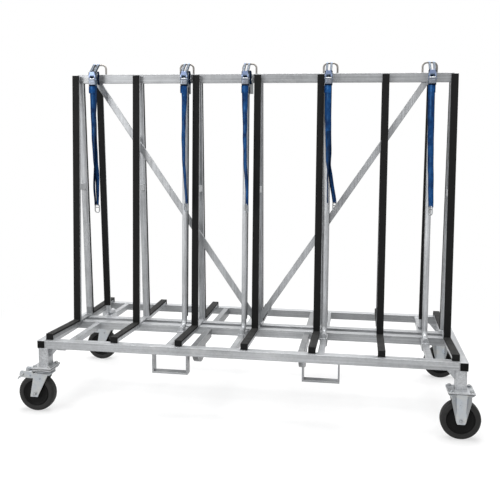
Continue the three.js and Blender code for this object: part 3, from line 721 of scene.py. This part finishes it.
for side, numbers in ((-1, FRONT_BARS), (1, REAR_BARS)):
    for n in numbers:
        x = STATION_X[n - 1]
        wide = 15 if side < 0 else 17
        section = [(-wide, -7), (-wide, -18), (-wide + 2.2, -20), (-wide * 0.4, -20.4), (wide * 0.4, -20.4)]
        section += [(wide - 2.2, -20), (wide, -18), (wide, -7)]
        facing = Shape()
        top = 1690 if side > 0 else 1668
        rings = []
        for i in range(9):
            z = 436 + (top - 436) * i / 8
            rings.append([at(x + u, side * (bar_out(z) + out), z) for u, out in section])
        facing.loft(rings)
        tag = "front" if side < 0 else "rear"
        facing.make(f"bar_facing_{tag}_{n}", RUBBER, f"{tag}_bar_{n}", angle=30)
        # Plug in the upper end of the rear tubes, and the weld where the bar meets its sleeve
        extra = Shape()
        foot = bar_out(423.5) + 40
        for u in (-14, 14):
            extra.bead(at(x + u, side * (foot - 12), 374.5), at(x + u, side * (foot + 24), 374.5), 0.0022)
        extra.make(f"bar_weld_{tag}_{n}", WELD, f"{tag}_bar_{n}")
        if side > 0:
            cap = Shape()
            z = 1736
            profile = [(0.0138, -0.002), (0.0141, 0.0002), (0.0128, 0.0022), (0.0, 0.003)]
            cap.turned(at(x, side * bar_out(1735), 1735), (0, 0, 1), profile[:-1], 28)
            cap.make(f"bar_plug_{tag}_{n}", PLASTIC, f"{tag}_bar_{n}")

# ---------------------------------------------------------------- caps, welds, bolts of the frame

for end in (-1, 1):
    for side in (-1, 1):
        tag = ("left" if end < 0 else "right") + ("_front" if side < 0 else "_rear")
        cap = Shape()
        x = end * 1040
        cap.block(at(x - 18, side * 399.5, 332), at(x + 18, side * 403.2, 368), 0.0018, 3)
        cap.block(at(x - 13.5, side * 402, 336.5), at(x + 13.5, side * 403.9, 363.5), 0.0012, 2)
        cap.make(f"tube_cap_{tag}", PLASTIC, "frame")

welds = Shape()
for side in (-1, 1):
    for end in (-1, 1):
        x = end * LEG_X
        y = side * 375
        for u in (-25, 25):
            welds.bead(at(x + u, y - 25, 330), at(x + u, y + 25, 330))
            welds.bead(at(x + u, y - 25, 238.5), at(x + u, y + 25, 238.5))
            welds.bead(at(x - 25, y + u, 330), at(x + 25, y + u, 330))
            welds.bead(at(x - 25, y + u, 238.5), at(x + 25, y + u, 238.5))
        face = end * 1020
        welds.bead(at(face, side * 400, 332), at(face, side * 400, 368), 0.0022)
        welds.bead(at(face, side * 361, 370), at(face, side * 399, 370), 0.0022)
    for x in RIB_X:
        for u in (-15, 15):
            welds.bead(at(x + u, side * 22, 381.5), at(x + u, side * 58, 381.5), 0.0016)
for x in (-368, 376):
    for u in (-90, 90):
        welds.bead(at(x + u, -399, 330), at(x + u, -361, 330), 0.0024)
        welds.bead(at(x + u - math.copysign(8, u), -399, 330), at(x + u - math.copysign(8, u), -361, 330), 0.0024)
for x in STATION_X:
    for side in (-1, 1):
        for u in (-14, 14):
            welds.bead(at(x + u, side * 61.4, 341), at(x + u, side * 61.4, 367), 0.0018)
            welds.bead(at(x + u, side * 359.2, 341), at(x + u, side * 359.2, 367), 0.0018)
for x, shift in zip(STATION_X, BOW_SHIFT):
    for u in (shift - 36, shift + 36):
        ring = [at(x + u + 5.6 * math.cos(a * math.pi / 8), 5.6 * math.sin(a * math.pi / 8), TOP_Z + 0.6) for a in range(17)]
        welds.tube(ring, 0.0017, 8)
welds.make("weld_beads", WELD, "frame")

# Hanger plates bolted to the front of the top rail, behind two of the bars
for n, low, high in ((2, -15, 22), (3, -10, 33)):
    x = STATION_X[n - 1]
    hanger = Shape()
    hanger.block(at(x + low, -15, 1633), at(x + high, -10.2, 1737), 0.0022, 3)
    for z in (1706, 1728):
        hanger.bolt(at(x + high - 9, -15, z), (0, -1, 0), 0.01, 0.004, 0.0075)
    hanger.make(f"hanger_plate_{n}", PALE, "frame")

# ---------------------------------------------------------------- castors

bolts = Shape()
for end in (-1, 1):
    for side in (-1, 1):
        reach = 38 if end < 0 else 46
        for u in (-reach, reach):
            for v in (-36, 36):
                x, y = end * LEG_X + u, side * CASTOR_Y + v
                bolts.bolt(at(x, y, 238), (0, 0, 1), 0.015, 0.007, 0.0105)
                low = 220 if end < 0 else 222
                bolts.bolt(at(x, y, low), (0, 0, -1), 0.015, 0.004)
bolts.make("plate_bolts", ZINC, "frame")

# Black sheet in the seam between the two plates of each castor, as painted shade, and a lug under the rail by the
# swivel castors
seam_shade = Shape()
lugs = Shape()
for end in (-1, 1):
    for side in (-1, 1):
        x, y = end * LEG_X, side * CASTOR_Y
        wide = 52 if end < 0 else 61
        deep = 49
        seam_shade.block(at(x - wide - 0.3, y - deep - 0.3, 228.6), at(x + wide + 0.3, y + deep + 0.3, 231.2), 0.0006)
        if end < 0:
            lugs.block(at(-962, side * 366, 319), at(-916, side * 388, 330.6), 0.004, 3)
            lugs.bead(at(-960, side * 388.5, 329), at(-918, side * 388.5, 329), 0.002)
seam_shade.make("plate_seam_shade", PLASTIC, "frame")
lugs.make("rail_lugs", WELD, "frame")


def wheel(name, x, y):
    """Black tyre with a ledge, darker moulded core, and a bearing ring on each side."""
    centre = at(x, y, WHEEL_R)
    tyre = Shape()
    profile = [(0.0668, 0.0188), (0.0684, 0.0222), (0.0712, 0.0232), (0.0795, 0.0238), (0.0855, 0.0236),
               (0.0896, 0.0215), (0.0923, 0.0178), (0.0938, 0.0125), (0.0945, 0.006), (0.0945, 0.0)]
    profile += [(r, -h) for r, h in reversed(profile[:-1])]
    tyre.turned(centre, (0, 1, 0), profile, 96, ends=False)
    piece = tyre.make(name + "_tyre", TYRE, name, angle=50)
    core = Shape()
    for face in (-1, 1):
        rim = [(0.0676, 0.0192), (0.066, 0.0176), (0.0635, 0.0165), (0.0625, 0.0182), (0.0595, 0.0186),
               (0.0575, 0.0165), (0.053, 0.0148), (0.034, 0.0145), (0.0305, 0.017), (0.0285, 0.0225),
               (0.0255, 0.0252), (0.015, 0.0255)]
        core.turned(centre, (0, face, 0), rim, 64, ends=False)
    hub = core.make(name + "_core", CORE, name, angle=40)
    bearing = Shape()
    for face in (-1, 1):
        steps = [(0.0155, 0.0252), (0.0150, 0.0262), (0.0118, 0.0262), (0.0112, 0.0256), (0.0092, 0.0256)]
        steps += [(0.0088, 0.0262), (0.0068, 0.0262)]
        bearing.turned(centre, (0, face, 0), steps, 40, ends=False)
    bearing.make(name + "_bearing", ZINC, name)
    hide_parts(name)
    return hub


for side, tag in ((-1, "front"), (1, "rear")):
    y = side * CASTOR_Y
    wheel(f"{tag}_left_wheel", LEFT_WHEEL_X, y)
    wheel(f"{tag}_right_wheel", RIGHT_WHEEL_X, y)
    for fork, x, body in ((f"{tag}_left", LEFT_WHEEL_X, f"{tag}_left_fork"), (f"{tag}_right", RIGHT_WHEEL_X, "frame")):
        nuts = Shape()
        for face in (-1, 1):
            nuts.bolt(at(x, y + face * 31.5, WHEEL_R), (0, face, 0), 0.014, 0.0072, 0.0092)
        nuts.make(f"axle_nuts_{fork}", ZINC, body)
    # Pressed ridges on the cheeks of the fixed fork
    ridge = Shape()
    x = RIGHT_WHEEL_X
    for face in (-1, 1):
        for end in (-1, 1):
            line = [at(x + end * u, y + face * 31.4, z) for u, z in ((28, 219), (27, 200), (25, 170), (21, 128))]
            ridge.tube(line, [0.0016, 0.0026, 0.0024, 0.0008], 8)
        lip = [at(x - 44, y + face * 31.2, 219), at(x + 44, y + face * 31.2, 219)]
        ridge.tube(lip, 0.0016, 8)
    ridge.make(f"fork_ridges_{tag}_right", DULL_ZINC, "frame")
    # Ball race, rivets and ear nut of the swivel castor
    race = Shape()
    x = -LEG_X
    profile = [(0.036, 0.0), (0.044, 0.0006), (0.0478, 0.003), (0.0465, 0.007), (0.0435, 0.0086), (0.0418, 0.0095)]
    profile += [(0.0435, 0.0104), (0.0472, 0.0125), (0.0478, 0.0155), (0.0455, 0.0172), (0.036, 0.0176)]
    race.turned(at(x, y, 201.4), (0, 0, 1), profile, 56)
    for face in (-1, 1):
        for u, z in ((-66, 189), (-16, 176)):
            head = [(0.0052, -0.0004), (0.005, 0.001), (0.003, 0.0026)]
            race.turned(at(x + u, y + face * 31.5, z), (0, face, 0), head, 18)
        race.bolt(at(x - 108, y + face * 31.5, 192), (0, face, 0), 0.011, 0.0045, 0.007)
        edge = [at(x + u, y + face * 29, z) for u, z in ((-58, 211), (-115, 211), (-122, 204), (-124, 188))]
        race.tube(edge, 0.0021, 8)
    race.make(f"{tag}_left_race", ZINC, f"{tag}_left_fork")
    pad = Shape()
    start, stop = Vector((-1134, 0, 193.5)), Vector((-1170, 0, 169.5))
    for k in range(6):
        p = start.lerp(stop, (k + 0.15) / 6)
        q = start.lerp(stop, (k + 0.75) / 6)
        ring = [at(p.x, y - 18, p.z - 0.6), at(p.x, y + 18, p.z - 0.6), at(q.x, y + 18, q.z - 0.6), at(q.x, y - 18, q.z - 0.6)]
        top = [at(p.x - 1.4, y - 17, p.z + 2.2), at(p.x - 1.4, y + 17, p.z + 2.2), at(q.x, y + 17, q.z + 2.6), at(q.x, y - 17, q.z + 2.6)]
        pad.loft([ring, top])
    pad.make(f"{tag}_pedal_grip", PLASTIC, f"{tag}_left_pedal", angle=30)

# ---------------------------------------------------------------- floor, world and lights


def seen_rays(tree):
    """1 for camera, glossy and transmission rays, 0 for the rays that light the object."""
    path = tree.nodes.new("ShaderNodeLightPath")
    value = path.outputs["Is Camera Ray"]
    for name in ("Is Glossy Ray", "Is Transmission Ray"):
        most = tree.nodes.new("ShaderNodeMath")
        most.operation = "MAXIMUM"
        tree.links.new(value, most.inputs[0])
        tree.links.new(path.outputs[name], most.inputs[1])
        value = most.outputs[0]
    return value


def ranged(tree, value, *numbers):
    node = tree.nodes.new("ShaderNodeMapRange")
    node.interpolation_type = "SMOOTHSTEP"
    tree.links.new(value, node.inputs[0])
    for i, number in enumerate(numbers, 1):
        node.inputs[i].default_value = number
    return node.outputs[0]


def backdrop():
    """Pale floor that takes the shadow near the cart and turns to plain white away from it."""
    mesh = bpy.data.meshes.new("floor")
    r = 40
    mesh.from_pydata([(-r, -r, 0), (r, -r, 0), (r, r, 0), (-r, r, 0)], [], [(0, 1, 2, 3)])
    obj = bpy.data.objects.new("floor", mesh)
    scene.collection.objects.link(obj)
    material = bpy.data.materials.new("floor")
    material.use_nodes = True
    tree = material.node_tree
    tree.nodes.clear()
    out = tree.nodes.new("ShaderNodeOutputMaterial")
    near = tree.nodes.new("ShaderNodeAddShader")
    diffuse = tree.nodes.new("ShaderNodeBsdfDiffuse")
    diffuse.inputs["Color"].default_value = (0.45, 0.45, 0.45, 1)
    glow = tree.nodes.new("ShaderNodeEmission")
    tree.links.new(ranged(tree, seen_rays(tree), 0, 1, 0, 0.6), glow.inputs["Strength"])
    tree.links.new(diffuse.outputs[0], near.inputs[0])
    tree.links.new(glow.outputs[0], near.inputs[1])
    far = tree.nodes.new("ShaderNodeEmission")
    tree.links.new(ranged(tree, seen_rays(tree), 0, 1, 0.5, 1.0), far.inputs["Strength"])
    place = tree.nodes.new("ShaderNodeTexCoord")
    reach = tree.nodes.new("ShaderNodeVectorMath")
    reach.operation = "LENGTH"
    tree.links.new(place.outputs["Object"], reach.inputs[0])
    both = tree.nodes.new("ShaderNodeMixShader")
    tree.links.new(ranged(tree, reach.outputs["Value"], 1.1, 2.6, 0, 1), both.inputs[0])
    tree.links.new(near.outputs[0], both.inputs[1])
    tree.links.new(far.outputs[0], both.inputs[2])
    tree.links.new(both.outputs[0], out.inputs[0])
    mesh.materials.append(material)


def world():
    made = bpy.data.worlds.new("world")
    scene.world = made
    made.use_nodes = True
    tree = made.node_tree
    tree.nodes.clear()
    out = tree.nodes.new("ShaderNodeOutputWorld")
    back = tree.nodes.new("ShaderNodeBackground")
    back.inputs["Color"].default_value = (1, 1, 1, 1)
    tree.links.new(ranged(tree, seen_rays(tree), 0, 1, 0.27, 1.0), back.inputs["Strength"])
    tree.links.new(back.outputs[0], out.inputs[0])


def soft_light(name, place, aim, size, energy):
    data = bpy.data.lights.new(name, "AREA")
    data.shape = "RECTANGLE"
    data.size, data.size_y = size
    data.energy = energy
    obj = bpy.data.objects.new(name, data)
    scene.collection.objects.link(obj)
    obj.location = place
    obj.rotation_euler = (Vector(aim) - Vector(place)).to_track_quat("-Z", "Y").to_euler()


backdrop()
world()
soft_light("top", (0.0, 0.3, 4.4), (0, 0, 0.6), (4.5, 3.0), 270)
soft_light("left", (-3.6, -4.2, 3.0), (0, 0, 0.9), (3.0, 3.0), 125)
soft_light("right", (4.2, -2.2, 2.6), (0.2, 0, 0.8), (2.5, 2.5), 6)

scene.view_settings.view_transform = "Standard"
